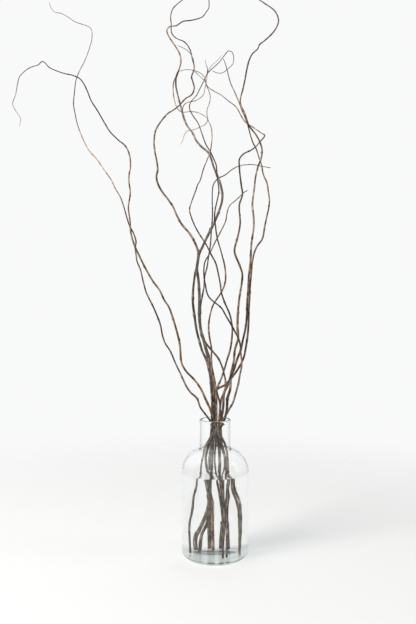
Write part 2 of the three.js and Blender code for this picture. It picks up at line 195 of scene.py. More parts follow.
def makeBark(name, look, grain):
    material, s = newMaterial(name)
    along = s.attribute("grain", 1)
    golden, ashen, toneAndPaintedLight, knot, wetAndNeckShade, cut = [
        s.attribute(kind, 2) for kind in ("golden", "ashen", "toneAndPaintedLight", "knot", "wetAndNeckShade", "cut")]

    def grainNoise(kind, detail, roughness, distortion=0.0):
        place = along * (1, 1, grain[kind + "Stretch"])
        return s.noise(place, grain[kind + "Scale"], detail, roughness, distortion)

    streaks = grainNoise("streak", 4, 0.6)
    furrows = grainNoise("furrow", 2, 0.5, 0.6)
    patches = grainNoise("patch", 3, 0.6)
    blotches = grainNoise("blotch", 2, 0.5)
    spots = s.add("ShaderNodeTexVoronoi", {"feature": "F1"}, {
        "Vector": along * (1, 1, grain["lenticelStretch"]), "Scale": grain["lenticelScale"],
    })
    rings = s.add("ShaderNodeTexWave", {"wave_type": "RINGS", "rings_direction": "Z"}, {
        "Vector": along * (1, 1, 0), "Scale": grain["ringScale"], "Distortion": 1.5, "Detail": 2,
    }, 1)
    lenticels = s.level(spots, *grain["lenticelSize"], 1, 0) * s.level(patches, *grain["lenticelBand"])
    furrow = s.level(furrows, *grain["furrowBand"], 1, 0)
    warmth = s.level(patches + golden - 0.5, *grain["patchBand"])
    palePart = s.level(blotches, *grain["paleBand"]) * grain["paleShare"]
    darkPart = s.level(blotches, *grain["darkBand"], 1, 0) * grain["darkShare"]
    ashenPart = ashen * s.level(streaks, *grain["ashenBand"], *grain["ashenRange"])

    colour = s.mix(warmth, look["ground"], look["warm"])
    colour = s.mix(palePart, colour, look["pale"])
    colour = s.mix(darkPart, colour, look["dark"])
    colour = s.mix(s.level(streaks, *grain["streakBand"]) * grain["streakShare"], colour, look["pale"])
    # Darker in the furrows that the bump sinks: partly the bark's own colour, partly painted shade in
    # these recesses
    colour = s.mix(furrow * grain["furrowShare"], colour, look["dark"])
    colour = s.mix(lenticels * grain["lenticelShare"], colour, look["pale"])
    colour = s.mix(ashenPart, colour, grain["ashen"])
    colour = s.mix(knot * grain["knotShare"], colour, look["dark"])
    # Darker in the water where damp, and in the neck as painted shade between the crowded stems
    colour = s.mix(wetAndNeckShade * s.level(streaks, *grain["wetAndNeckShadeBand"], 1, 0), colour, colour * grain["wetAndNeckShadeTint"])
    # Scaled by how light the stem is along it: the bark's own tone, with painted light and shade in it
    colour = s.add("ShaderNodeVectorMath", {"operation": "SCALE"}, {0: colour, "Scale": toneAndPaintedLight})
    colour = s.mix(cut, colour, s.mix(rings, grain["woodPale"], grain["woodDark"]))
    relief = streaks * grain["streakRelief"] - furrow * grain["furrowRelief"] \
        + lenticels * grain["lenticelRelief"]
    shading = s.add("ShaderNodeBsdfPrincipled", None, {
        "Base Color": colour,
        "Roughness": grain["dull"] - grain["polish"] * look["shine"] * (1 - furrow)
        + grain["ashenDull"] * ashen,
        "Specular IOR Level": grain["specular"],
        "Normal": s.bump(relief, grain["reliefStrength"], grain["reliefDepth"]),
    })
    s.add("ShaderNodeOutputMaterial", None, {"Surface": shading})
    return material


barks = {name: makeBark(name, look, barkGrain) for name, look in barkLooks.items()}
print("bark made")


# Stems: the solids' own routes and thicknesses, in millimetres. A route's points are across and
# up, as they are seen from the eye, and its back gives how far behind the vase's axis they lie at
# each height. Thick is at the foot and at the tip. Wave is the reach, length and start of a curl
# to and fro. Hook is how many of the last points drift off in depth, and how far the last one goes.

stems = {
    "stem_left_tall": {
        "bark": "golden_bark",
        "thick": [5.9, 1.2],
        "foot": [40.7, -10],
        "route": [
            [39.3, 63.1], [38.9, 91], [34.3, 116.4], [27, 143.8], [26, 200], [22, 230], [11, 254],
            [2, 272], [-5.6, 291], [-11, 308], [-19, 326], [-30, 349], [-44, 369], [-61, 386],
            [-70.5, 403], [-73, 427], [-75.5, 449], [-82, 474], [-89.5, 498], [-97, 520], [-107, 536],
            [-117, 557], [-130, 575], [-149, 608], [-161, 633], [-169.5, 650], [-175, 668],
            [-177.5, 681], [-178.5, 700], [-182, 730], [-178, 759], [-181.5, 790], [-178, 821],
            [-181, 843], [-188.5, 859], [-203, 871], [-222, 890], [-231, 905], [-248, 935], [-260, 954],
            [-268, 974], [-276, 990], [-284, 1000], [-299, 1007], [-313, 1010], [-332, 1016],
            [-349, 1024], [-357, 1033], [-363, 1036], [-371, 1029], [-386, 1024], [-399, 1016],
            [-411, 1003], [-415, 987], [-419, 966], [-425, 947], [-418, 932], [-409, 918], [-410, 900],
        ],
        "back": [
            [8, -10], [257, 7], [400, 12], [520, -14], [640, -19.5], [690, -27], [800, -42], [920, -30],
            [1036, -60],
        ],
        "hook": [8, -22],
    },
    "stem_left_thin": {
        "bark": "grey_bark",
        "thick": [4.7, 1.1],
        "foot": [34.4, 16],
        "route": [
            [36.7, 64.2], [37.2, 95.8], [34.7, 121.9], [28.6, 145.3], [26, 190], [20, 212], [15.5, 230],
            [5, 252], [-6, 274], [-13, 286], [-22, 298], [-31.5, 311], [-38.5, 329], [-52, 342],
            [-62, 357], [-74, 383], [-84, 404], [-94, 428], [-105, 446], [-110, 461], [-115, 485],
            [-128, 518], [-144, 550], [-151, 574], [-157, 600], [-164, 617], [-166, 630], [-168, 646],
            [-166.3, 658], [-171.5, 676], [-178, 688], [-184, 705], [-191, 730], [-199, 752],
            [-210, 771], [-218, 788], [-234, 811], [-248, 831], [-265, 850], [-281, 882], [-289, 904],
            [-294, 927], [-297, 946], [-295, 973], [-292, 997], [-285, 1016], [-274, 1037],
            [-264, 1064], [-258.5, 1086], [-260, 1104], [-267, 1110], [-281, 1115], [-293, 1119],
            [-308, 1129], [-323, 1137], [-337, 1140], [-345, 1150], [-348, 1161],
        ],
        "back": [
            [8, 16], [257, 7], [400, 22], [540, -2], [640, -26], [690, -21.5], [780, 8], [1000, 28],
            [1161, 62],
        ],
    },
    "stem_left_wavy": {
        "bark": "dark_bark",
        "thick": [7, 1.8],
        "foot": [-6.3, 48],
        "route": [
            [-6.9, 68.9], [-7.1, 100], [-7.9, 139.9], [-12, 200], [-9, 230], [-8, 257], [-6.5, 285],
            [-5.5, 312], [-8, 350], [-10.5, 378], [-15, 400], [-20, 414], [-27, 429], [-31, 443],
            [-39.5, 475], [-43.5, 499], [-47, 532], [-46, 560], [-42, 590], [-38, 607], [-35.5, 628],
            [-37, 642], [-44, 659], [-53, 675], [-70.5, 696], [-83, 719], [-87, 729], [-99, 747],
            [-112.5, 765], [-121, 783], [-123, 796], [-120.5, 808], [-122, 824], [-127, 850],
            [-128, 870], [-124, 893], [-115, 909], [-100, 927], [-89, 934], [-77, 943], [-62, 959],
            [-49, 967], [-44, 980], [-47, 994], [-49.5, 1004], [-46, 1015], [-44, 1025], [-48, 1043],
            [-53, 1062], [-64, 1077], [-83, 1086], [-91, 1096], [-92, 1115], [-93, 1131], [-89, 1146],
            [-79, 1157], [-68, 1166], [-58, 1178], [-57, 1192], [-64, 1205],
        ],
        "back": [
            [8, 48], [200, 27.4], [230, 23.8], [257, 21.3], [400, 34], [607, 48], [950, 88],
            [1205, 108],
        ],
        "wave": [11, 175, 0.4],
    },
    "stem_thick": {
        "bark": "dark_bark",
        "thick": [8.9, 1.7],
        "foot": [8.3, 49],
        "route": [
            [8.4, 50.4], [11.1, 89.2], [8.8, 130.1], [9, 200], [8, 230], [4, 257], [1, 285], [0, 310],
            [-1, 350], [-3, 371], [-6.5, 388], [-10.5, 403], [-15, 419], [-20, 435], [-24, 451],
            [-30, 470], [-33, 490], [-33.5, 520], [-33, 548], [-35, 577], [-38.5, 599], [-37.5, 613],
            [-33, 636], [-27.5, 646], [-21.5, 659], [-12, 678], [-1, 701], [8.5, 724], [14, 741],
            [15.5, 757], [10.5, 782], [3, 800], [-3, 815], [-8.5, 833], [-14, 845], [-29, 858],
            [-40, 871], [-47, 886], [-59, 902], [-67, 921], [-72, 941], [-79, 968], [-82.5, 989],
            [-81, 1006], [-76, 1020], [-72, 1035], [-74, 1051], [-84, 1069], [-97, 1088],
            [-101.5, 1101], [-96, 1109], [-81, 1111.5], [-68, 1120], [-48.5, 1123], [-27, 1130],
            [-19, 1140], [-13.5, 1149], [-13, 1165], [-12, 1183], [-4, 1199], [5, 1214],
        ],
        "back": [
            [8, 49], [110, 37.7], [150, 31.7], [257, 18.5], [450, 30], [700, 44], [950, 62], [1214, 84],
        ],
        "wave": [10, 190, 2.2],
        "twigs": [
            {
                "thick": [2.4, 1.2],
                "route": [
                    [-81, 1006], [-87, 993], [-88, 972], [-84, 950], [-78.5, 936], [-69, 930],
                    [-52, 931], [-37, 929], [-21, 921], [-16, 914], [-20, 905], [-33, 898], [-46, 893],
                    [-59, 890], [-64, 884], [-68, 871], [-73, 862],
                ],
                "back": [[0, 0], [0.12, -8], [0.3, -22], [0.7, -34], [1, -40]],
            },
            {
                "thick": [2.2, 1.1],
                "route": [
                    [-67, 921], [-68.5, 934], [-66, 944], [-59, 950], [-45, 953], [-37, 956],
                    [-25, 966], [-21, 982], [-18, 997], [-16.5, 1009], [-12.5, 1021], [-6, 1029],
                    [3, 1037], [13.5, 1049],
                ],
                "back": [[0, 0], [0.2, -7], [1, -20]],
            },
        ],
    },
    "stem_middle_hook": {
        "bark": "brown_bark",
        "thick": [5, 1.3],
        "foot": [13.1, -30],
        "route": [
            [13.3, 73.4], [10.6, 109.4], [7.3, 131.4], [-1, 203], [1, 230], [2, 257], [3, 285],
            [3, 312], [2, 345], [-3, 372], [-7, 394], [-8, 415], [-7.5, 434], [-11, 454], [-13.5, 479],
            [-12, 497], [-7, 519], [-2.5, 529], [3, 537], [13, 552], [20, 569], [22, 583], [20, 607],
            [13, 635], [4, 666], [0.5, 693], [-1, 709], [0, 724], [5, 747], [8, 763], [7, 776],
            [4.5, 795], [2, 819], [-5, 835], [-10.5, 847], [-20, 863], [-27.5, 884], [-36, 907],
            [-47, 923], [-53.5, 937], [-53, 946], [-49, 954], [-39, 965], [-31.5, 980], [-23, 997],
            [-16.5, 1011], [-7.5, 1020], [9, 1035], [18, 1047], [27.5, 1058], [35, 1056], [39, 1043],
            [37, 1031], [27, 1021], [16.5, 1013], [4.5, 1012], [-6, 1017],
        ],
        "back": [[8, -30], [200, -12], [230, -7.5], [257, -5.6], [450, -8], [700, -10], [1000, -22]],
        "wave": [9, 160, 1.1],
        "hook": [7, -16],
        "twigs": [
            {
                "thick": [1.9, 1],
                "route": [[-16.5, 1011], [-16, 1021], [-19, 1030], [-21.5, 1041]],
                "back": [[0, 0], [1, -12]],
            },
        ],
    },
    "stem_middle_thin": {
        "bark": "brown_bark",
        "thick": [5.3, 1.1],
        "foot": [19.4, -24],
        "route": [
            [20.8, 63.3], [21.7, 107], [23.4, 126.8], [22.5, 146.7], [23, 194], [15, 221], [11, 240],
            [8, 257], [7.5, 272], [8, 288], [9.5, 306], [9, 322], [5.5, 334], [3.5, 344], [6, 356],
            [12, 369], [19, 389], [25, 410], [31, 430], [34.5, 452], [35.5, 478], [31, 504], [20, 530],
            [13, 551], [10.5, 570], [6, 593], [1, 613], [-9.5, 633], [-18.5, 651], [-25, 661],
            [-34.5, 676], [-43, 692], [-50, 710], [-53.5, 725], [-49.5, 741], [-40, 767], [-37, 777],
            [-31.5, 787], [-25, 810], [-16, 832], [-10, 848], [-7, 868], [-6.5, 884], [-8.5, 899],
            [-15, 914], [-17, 934], [-11.5, 950], [-10.5, 964], [-14, 976], [-19, 988], [-22, 1002],
            [-30, 1011], [-44, 1017], [-62, 1019], [-76, 1015],
        ],
        "back": [[8, -24], [200, -21.5], [257, -22.5], [480, -46], [700, -70], [1019, -92]],
        "wave": [10, 165, 3.6],
    },
    "stem_short_left": {
        "bark": "brown_bark",
        "thick": [5.4, 1.8],
        "foot": [16.8, 40],
        "route": [
            [15.8, 53.4], [15.8, 81.7], [14.9, 108.1], [15.4, 136.5], [20, 200], [15, 230], [13, 257],
            [12, 285], [11, 314], [13, 328], [19.5, 345], [22, 361], [19, 379], [14, 397], [7, 413],
            [-1, 423], [-11, 434], [-22, 450], [-29, 475], [-31, 500], [-30, 526], [-26.5, 545],
            [-23, 566], [-22, 584], [-17, 604], [-13.5, 628], [-9.5, 654], [-8, 680], [-5.5, 713],
            [-6, 742], [-5.5, 766], [-3, 779], [5.5, 790], [21, 798], [38, 811], [54, 818], [78, 820],
            [99, 816], [117, 813],
        ],
        "back": [
            [8, 40], [110, 31.4], [150, 29.6], [200, 26], [230, 19.4], [257, 19.4], [290, 23.1],
            [330, 28], [450, 42], [700, 62], [820, 70],
        ],
        "wave": [9, 150, 5.2],
    },
    "stem_short_right": {
        "bark": "golden_bark",
        "thick": [5.4, 1.9],
        "foot": [-38.3, 4],
        "route": [
            [-41, 68.9], [-37, 98.1], [-35.2, 128.9], [-31, 149.9], [-29, 190], [-24, 212], [-19, 230],
            [-12, 244], [-3, 258], [8, 273], [17, 287], [22.5, 294], [29, 306], [37, 321], [43, 340],
            [48, 358], [52, 379], [55.5, 396], [56, 407], [54, 427], [53.5, 440], [49, 456], [43, 467],
            [33.5, 485], [24, 501], [13.5, 519], [7, 525], [-1, 531], [-11, 540], [-17, 551],
            [-20, 566], [-23, 582], [-23.5, 603], [-21, 617], [-13, 631], [2, 661], [11.5, 679],
            [22, 702], [24.5, 717], [30, 733], [46, 747], [61, 762], [69, 766],
        ],
        "back": [
            [8, 4], [200, -15.5], [215, -16.2], [230, -15.6], [257, -17.5], [430, -26], [533, -30],
            [766, -52],
        ],
        "wave": [10, 140, 0.9],
    },
    "stem_right_thin": {
        "bark": "brown_bark",
        "thick": [6, 1.9],
        "foot": [-2.8, 33],
        "route": [
            [-3.4, 66.9], [-3.2, 99.1], [-3.9, 119.6], [-6.5, 139.1], [-6, 200], [-4, 230], [-3, 257],
            [-2, 285], [-2, 316], [0, 343], [6, 350], [18, 356], [26.5, 362], [32, 370], [45, 387],
            [56, 406], [61, 419], [65, 441], [68.5, 466], [70.5, 491], [71, 510], [72.5, 540],
            [73, 560], [75.5, 588], [78, 614], [82, 635], [88, 649], [98.5, 664], [104, 690],
            [109.5, 715], [113, 730], [114, 744], [111, 766], [108.5, 782], [101, 799], [97, 820],
            [91, 838], [86, 854], [80, 865], [73.5, 885], [69, 902], [64.5, 915], [58, 930], [53, 943],
            [41, 972], [33.5, 988], [28.5, 1005], [23, 1026], [17, 1043],
        ],
        "back": [[8, 33], [257, 12.7], [400, 20], [700, 30], [850, 40], [1043, 46]],
        "wave": [10, 180, 4.4],
    },
    "stem_right_loop": {
        "bark": "dark_bark",
        "thick": [7, 1.2],
        "foot": [-24.8, 31],
        "route": [
            [-25.9, 44.6], [-18.3, 73.8], [-11.5, 98.5], [-9.4, 128.9], [-19.5, 205], [-17, 219],
            [-13, 232], [-6, 245], [3, 258], [13, 272], [20, 287], [24.5, 305], [26, 330], [31.5, 349],
            [32, 363], [33.5, 382], [38.5, 407], [41.5, 433], [48, 455], [47, 480], [48, 515],
            [52, 545], [56.5, 577], [56.5, 592], [50, 611], [41.5, 632], [40.5, 642], [47, 667],
            [52.5, 697], [51, 735], [57.5, 757], [55, 776], [50.5, 812], [51, 832], [60, 843],
            [72.5, 849], [83, 856], [95, 869], [104, 881], [96, 887], [83, 896], [64, 909], [55, 922],
            [44, 941], [27, 954], [12, 966], [-4, 975], [-15, 983], [-22.5, 996], [-34, 1007],
            [-43, 1017], [-44.5, 1031], [-46, 1042], [-51, 1051], [-59, 1060], [-79, 1070],
        ],
        "back": [[8, 31], [257, 0.6], [430, 0], [700, 2], [870, 4], [1070, 20]],
        "wave": [11, 200, 2.9],
    },
    "stem_right_tall": {
        "bark": "dark_bark",
        "thick": [5.8, 2.2],
        "foot": [-21, 24],
        "route": [
            [-18.6, 52.6], [-13.5, 67.5], [-9.7, 86.1], [-7.2, 125.1], [-8, 200], [-7, 230], [-2, 243],
            [4, 258], [9, 274], [13.5, 290], [17, 310], [19, 340], [26, 355], [33, 375], [39, 387],
            [46, 410], [54, 431], [58, 449], [64, 480], [66.5, 505], [67, 528], [69, 556], [71, 588],
            [74, 616], [76, 655], [80.5, 688], [80.5, 708], [78, 735], [81, 765], [85, 795], [91, 818],
            [96, 830], [98.5, 850], [95, 865], [85.5, 883], [70.5, 903], [62, 927], [53.5, 946],
            [53, 959], [58, 978], [63.5, 1002], [66.5, 1018], [72.5, 1041], [78, 1052], [89, 1063],
            [93, 1072], [104, 1080], [121, 1096], [131, 1113], [132.5, 1125], [125, 1142], [104, 1158],
            [90, 1168], [78, 1182], [76, 1197], [83, 1213],
        ],
        "back": [[8, 24], [215, -11.5], [257, -11.8], [430, -18], [700, -30], [870, -40], [1213, -70]],
        "wave": [11, 185, 5.9],
    },
}

# Tone along each stem, as [share of its length, amount]: how golden it is, how ashen it has dried and how
# light it is. How light it is holds the bark's own tone and also painted light and shade, such as the
# darker stretches in the crowded neck

stemTones = {
    "stem_left_tall": {
        "golden": [
            [0.1, 0.42], [0.17, 0.28], [0.24, 0.56], [0.6, 0.58], [0.68, 0.4], [0.75, 0.25], [0.88, 0.3],
        ],
        "ashen": [[0.86, 0], [1, 0.9]],
        "toneAndPaintedLight": [[0.3, 1], [0.5, 0.8], [0.58, 1], [0.65, 1.8], [0.71, 0.6], [0.86, 0.4], [0.93, 1.8]],
    },
    "stem_left_thin": {
        "golden": [[0.14, 0.32], [0.22, 0.5], [0.56, 0.56], [0.64, 0.7], [0.72, 0.66], [0.8, 0.45]],
        "ashen": [[0.6, 0], [0.7, 0.3], [0.78, 0.1], [1, 0.7]],
        "toneAndPaintedLight": [
            [0.1, 1.4], [0.13, 0.5], [0.22, 0.5], [0.3, 1], [0.5, 0.8], [0.57, 0.5],
            [0.64, 2.2], [0.71, 1.9], [0.78, 0.5], [0.86, 1.4], [1, 0.7],
        ],
    },
    "stem_left_wavy": {
        "golden": [[0.2, 0.28], [0.4, 0.42], [0.5, 0.6], [0.8, 0.6], [0.9, 0.5]],
        "ashen": [[0.15, 0.2], [0.28, 0.3], [0.38, 0], [0.85, 0], [1, 0.3]],
        "toneAndPaintedLight": [[0.28, 1.3], [0.37, 0.7], [0.45, 1], [0.76, 1.1], [0.85, 0.6], [0.92, 1]],
    },
    "stem_thick": {
        "golden": [
            [0.13, 0.62], [0.2, 0.3], [0.45, 0.2], [0.6, 0.3], [0.7, 0.5], [0.85, 0.62], [1, 0.5],
        ],
        "ashen": [[0.13, 0], [0.16, 0.2], [0.26, 0.35], [0.5, 0.5], [0.68, 0.45], [0.8, 0]],
        "toneAndPaintedLight": [
            [0.17, 1], [0.2, 0.75], [0.26, 0.8], [0.3, 1], [0.5, 1], [0.6, 1.4], [0.78, 1.6],
            [0.85, 1.2], [0.93, 0.7],
        ],
    },
    "stem_middle_hook": {
        "golden": [[0.2, 0.32], [0.3, 0.55], [0.45, 0.55], [0.55, 0.4], [0.8, 0.42]],
        "ashen": [[0.15, 0.1], [0.26, 0.25], [0.36, 0], [0.85, 0], [1, 0.5]],
        "toneAndPaintedLight": [
            [0.15, 0.6], [0.2, 0.7], [0.26, 0.8], [0.3, 1], [0.5, 1], [0.6, 0.6], [0.72, 0.5],
            [0.82, 1.3], [0.92, 0.8], [1, 0.4],
        ],
    },
    "stem_middle_thin": {
        "golden": [[0.2, 0.32], [0.35, 0.55], [0.5, 0.6], [0.6, 0.46], [0.75, 0.5]],
        "ashen": [[0.8, 0], [0.92, 0.5]],
        "toneAndPaintedLight": [
            [0.13, 1.2], [0.18, 0.8], [0.36, 0.8], [0.5, 0.4], [0.6, 0.4], [0.68, 0.8], [0.86, 2],
            [0.93, 1.2], [1, 0.3],
        ],
    },
    "stem_short_left": {
        "golden": [[0.25, 0.3], [0.6, 0.4], [0.85, 0.5], [1, 0.66]],
        "ashen": [[0.2, 0.2], [0.35, 0.35], [0.7, 0], [0.9, 0], [1, 0.2]],
        "toneAndPaintedLight": [[0.45, 0.9], [0.64, 1.2], [0.78, 0.5], [0.86, 0.6], [0.92, 1]],
    },
    "stem_short_right": {
        "golden": [[0.15, 0.1], [0.25, 0.24], [0.4, 0.38], [0.8, 0.36], [0.9, 0.64]],
        "ashen": [[0.2, 0.3], [0.4, 0.3], [0.8, 0.2], [0.92, 0], [1, 0.2]],
        "toneAndPaintedLight": [
            [0.16, 0.8], [0.24, 1.2], [0.5, 1.2], [0.62, 0.25], [0.72, 0.25], [0.85, 0.8],
            [0.94, 1], [1, 0.5],
        ],
    },
    "stem_right_thin": {
        "golden": [
            [0.11, 1], [0.17, 0.3], [0.24, 0.4], [0.4, 0.6], [0.7, 0.66], [0.85, 0.5], [0.95, 0.66],
        ],
        "ashen": [[0.9, 0], [1, 0.3]],
        "toneAndPaintedLight": [
            [0.11, 1.7], [0.16, 1], [0.28, 1], [0.36, 0.5], [0.46, 0.5], [0.62, 0.9], [0.8, 1],
            [0.9, 0.7], [1, 1],
        ],
    },
    "stem_right_loop": {
        "golden": [[0.22, 0.3], [0.3, 0.46], [0.45, 0.62], [0.75, 0.66]],
        "ashen": [[0.13, 0.4], [0.17, 0], [0.85, 0], [1, 0.4]],
        "toneAndPaintedLight": [
            [0.13, 1.4], [0.17, 0.9], [0.24, 0.8], [0.3, 1.1], [0.5, 1.1], [0.6, 0.5], [0.72, 0.4],
            [0.78, 1.6], [0.86, 1.4], [0.93, 2.6], [1, 0.4],
        ],
    },
    "stem_right_tall": {
        "golden": [
            [0.1, 0.46], [0.16, 0.28], [0.3, 0.6], [0.5, 0.66], [0.68, 0.5], [0.82, 0.58], [1, 0.4],
        ],
        "ashen": [[0.9, 0], [1, 0.2]],
        "toneAndPaintedLight": [
            [0.28, 1], [0.36, 0.5], [0.48, 1], [0.64, 1.7], [0.71, 0.5], [0.78, 1.6], [0.86, 0.9],
        ],
    },
    "twigs": {
        "golden": [[0, 0.5]],
        "ashen": [[0, 0.1], [1, 0.7]],
        "toneAndPaintedLight": [[0, 1.3], [0.5, 1.9], [1, 2.2]],
    },
}

# Free, slim and wet are read by height: how much of its kinks and knots a stem shows, how slim it is next
# to its solid, and how much darker it is made, as damp bark in the water and as painted shade up through
# the neck, where the stems crowd

stemForm = {
    "sides": 16,
    "step": 2.2,
    "taper": 0.85,
    "floor": 8.3,
    "waveStart": 286, "waveRise": 330,
    "lean": 0.2,
    "skin": 0.03,  # how much slimmer a tube is than its solid, to leave room for its knots
    "wrinkles": [[2, 0.06, 150], [3, 0.05, 90], [5, 0.03, 60]], "wrinkleSwing": [0.6, 1.4],
    "knotGap": [30, 62],
    "knotSwell": 0.18, "knotReach": [0.8, 0.9],
    "budTurn": math.radians(137.5),
    "budHeight": 0.4, "budPlace": 0.3, "budReach": [0.55, 0.7], "budWidth": 0.5,
    "groovePlace": 0.9, "grooveReach": 0.9, "grooveDepth": 0.05, "grooveDark": 0.75,
    "kink": 0.3, "kinkRange": [0.4, 1],
    "rootFlare": 0.9, "flareReach": 2.5,
    "cutSize": 0.93, "cutDepth": 0.25,
    "tipRings": [[-1, 0.45], [-2, 0.85]], "tipLength": 0.5,
    "free": [[0, 0.3], [24, 1], [185, 1], [212, 0.4], [290, 0.4], [325, 1]],
    "slim": [[175, 0.8], [200, 0.86], [240, 1]],
    # damp in the water; from 185 to 280 it is painted shade in the neck
    "wetAndNeckShade": [[174, 1], [185, 0.8], [280, 0.8], [300, 0]],
    "sharpAngle": math.radians(50),
    "seed": 11,
    "grainShift": 1700, "twigShift": 800,  # so that no two stems show the same bark
}


def stepped(steps, at):
    places, values = zip(*steps)
    return np.interp(at, places, values)


def smoothStep(at, low, high):
    share = np.clip((at - low) / (high - low), 0, 1)
    return share * share * (3 - 2 * share)


def unit(vector):
    return vector / np.linalg.norm(vector)


def turnsRound(sides):
    return np.linspace(0, 2 * math.pi, sides, endpoint=False)[None, :]


# How thick a stem or twig is where this share of its length is left
def thickAt(thick, left):
    return thick[1] + (thick[0] - thick[1]) * left ** stemForm["taper"]


# The true place of points that are seen at [across, up] and lie back behind the axis plane
def seen(across, up, back):
    spread = 1 + back / eye["distance"]
    trueAcross = eye["across"] + (across - eye["across"]) * spread
    trueUp = eye["up"] + (up - eye["up"]) * spread
    return np.stack([trueAcross, back, trueUp], -1)


def routePoints(stem):
    across, up = np.array(stem["route"], float).T
    reach, pitch, start = stem.get("wave", [0, 1, 0])
    grown = smoothStep(up, stemForm["waveStart"], stemForm["waveStart"] + stemForm["waveRise"])
    hookPoints, hookBack = stem.get("hook", [1, 0])
    hookShare = (np.arange(len(up)) - (len(up) - 1 - hookPoints)) / hookPoints
    back = stepped(stem["back"], up) + reach * grown * np.sin(2 * math.pi * up / pitch + start)
    return seen(across, up, back + hookBack * np.maximum(0, hookShare))


def stemPoints(stem):
    return np.vstack([[*stem["foot"], stemForm["floor"]], routePoints(stem)])


def twigPoints(stem, twig):
    fork = stem["route"].index(twig["route"][0])
    across, up = np.array(twig["route"], float).T
    back = routePoints(stem)[fork][1] + stepped(twig["back"], np.linspace(0, 1, len(up)))
    return seen(across, up, back)


# A centripetal curve through the points, in steps of about the given length
def smoothRoute(points, step):
    ends = [2 * points[0] - points[1], *points, 2 * points[-1] - points[-2]]
    route = []
    for before, here, there, beyond in zip(ends, ends[1:], ends[2:], ends[3:]):
        first, middle, last = [max(np.linalg.norm(b - a) ** 0.5, 1e-4)
                               for a, b in ((before, here), (here, there), (there, beyond))]
        leave = (here - before) / first - (there - before) / (first + middle) + (there - here) / middle
        arrive = (there - here) / middle - (beyond - here) / (middle + last) + (beyond - there) / last
        leave, arrive = leave * middle, arrive * middle
        parts = max(1, round(np.linalg.norm(there - here) / step))
        for t in np.arange(parts) / parts:
            route.append(here + leave * t + (3 * (there - here) - 2 * leave - arrive) * t ** 2
                         + (2 * (here - there) + leave + arrive) * t ** 3)
    return np.array([*route, points[-1]])


# Where the buds sat on a stem: places along it, at uneven gaps, with a knot at each fork too
def knotPlaces(length, forks, random):
    places = [random.uniform(*stemForm["knotGap"])]
    while places[-1] < length - stemForm["knotGap"][0] / 2:
        places.append(places[-1] + random.uniform(*stemForm["knotGap"]))
    return np.array(sorted([*(places[:-1] or [length / 2]), *forks]))


# Two directions across the route at each of its points, carried along it without twisting
def crossFrames(route, flatFoot):
    along = np.gradient(route, axis=0)
    if flatFoot:
        along[0] = (0, 0, 1)
    side = np.array([1.0, 0, 0])
    sides, ups = [], []
    for direction in along:
        direction = unit(direction)
        side = unit(side - direction * side.dot(direction))
        sides.append(side)
        ups.append(np.cross(direction, side))
    return np.array(sides), np.array(ups)


# One stem or twig: its corners, its faces and what the bark reads at each corner
def barkTube(points, thick, forks, random, tones, flatFoot, shift):
    form = stemForm
    route = smoothRoute(points, form["step"])
    reach = np.concatenate([[0], np.cumsum(np.linalg.norm(np.diff(route, axis=0), axis=1))])
    length = reach[-1]
    sides, ups = crossFrames(route, flatFoot)
    radius = thickAt(thick, 1 - reach / length) / 2 * stepped(form["slim"], route[:, 2])
    free = stepped(form["free"], route[:, 2]) if flatFoot else np.ones(len(route))
    turn = turnsRound(form["sides"])
    along = reach[:, None]

    forkPlaces = [reach[np.argmin(np.linalg.norm(route - fork, axis=1))] for fork in forks]
    knots = knotPlaces(length, forkPlaces, random)
    kinkTurns = random.uniform(0, 2 * math.pi, len(knots))
    kinks = form["kink"] * random.uniform(*form["kinkRange"], len(knots))
    across = np.interp(reach, knots, kinks * np.cos(kinkTurns), 0, 0) * radius * free
    upward = np.interp(reach, knots, kinks * np.sin(kinkTurns), 0, 0) * radius * free
    centre = route + sides * across[:, None] + ups * upward[:, None]

    relief = np.zeros((len(route), form["sides"]))
    for count, depth, drift in form["wrinkles"]:
        start = random.uniform(0, 2 * math.pi)
        swing = random.uniform(*form["wrinkleSwing"])
        relief += depth * np.cos(count * turn + start + 2 * math.pi * along / (drift * swing))
    dark = np.zeros_like(relief)
    budTurn = random.uniform(0, 2 * math.pi)
    for place in knots:
        budTurn += form["budTurn"]
        size = np.interp(place, reach, radius)
        beyond = along - place
        swell = np.exp(-(beyond / np.polyval(form["knotReach"], size)) ** 2)
        budAlong = (beyond - form["budPlace"] * size) / np.polyval(form["budReach"], size)
        budRound = np.angle(np.exp(1j * (turn - budTurn))) / form["budWidth"]
        bud = np.exp(-budAlong ** 2 - budRound ** 2)
        groove = np.exp(-((beyond + form["groovePlace"] * size) / form["grooveReach"]) ** 2)
        relief += form["knotSwell"] * swell + form["budHeight"] * bud - form["grooveDepth"] * groove
        dark = np.maximum(dark, np.maximum(form["grooveDark"] * groove, bud))
    width = radius[:, None] * (1 + relief * free[:, None] - form["skin"])
    if not flatFoot:
        width *= 1 + form["rootFlare"] * np.exp(-along / form["flareReach"])
    for ring, narrow in form["tipRings"]:
        width[ring] *= narrow

    corners = centre[:, None] + sides[:, None] * (width * np.cos(turn))[..., None] \
        + ups[:, None] * (width * np.sin(turn))[..., None]
    grain = np.stack(np.broadcast_arrays(
        radius[:, None] * np.cos(turn), radius[:, None] * np.sin(turn), along + shift), -1)
    share = (reach / length)[:, None] + np.zeros_like(width)
    reads = {
        "grain": grain * millimetre,
        "golden": stepped(tones["golden"], share),
        "ashen": stepped(tones["ashen"], share),
        # how light it is along it: bark tone, with painted light and shade
        "toneAndPaintedLight": stepped(tones["toneAndPaintedLight"], share),
        "knot": dark,
        "wetAndNeckShade": stepped(form["wetAndNeckShade"], route[:, 2])[:, None] + np.zeros_like(width),
        "cut": np.zeros_like(width),
    }
    return closeTube(corners, reads, centre, radius, flatFoot)


# The four-sided faces between rings of corners, and the corners' numbers with their neighbours'
def joinRings(rings, count):
    here = np.arange(rings * count).reshape(rings, count)
    beside = np.roll(here, -1, axis=1)
    walls = np.stack([here[:-1], beside[:-1], beside[1:], here[1:]], -1).reshape(-1, 4).tolist()
    return walls, here, beside


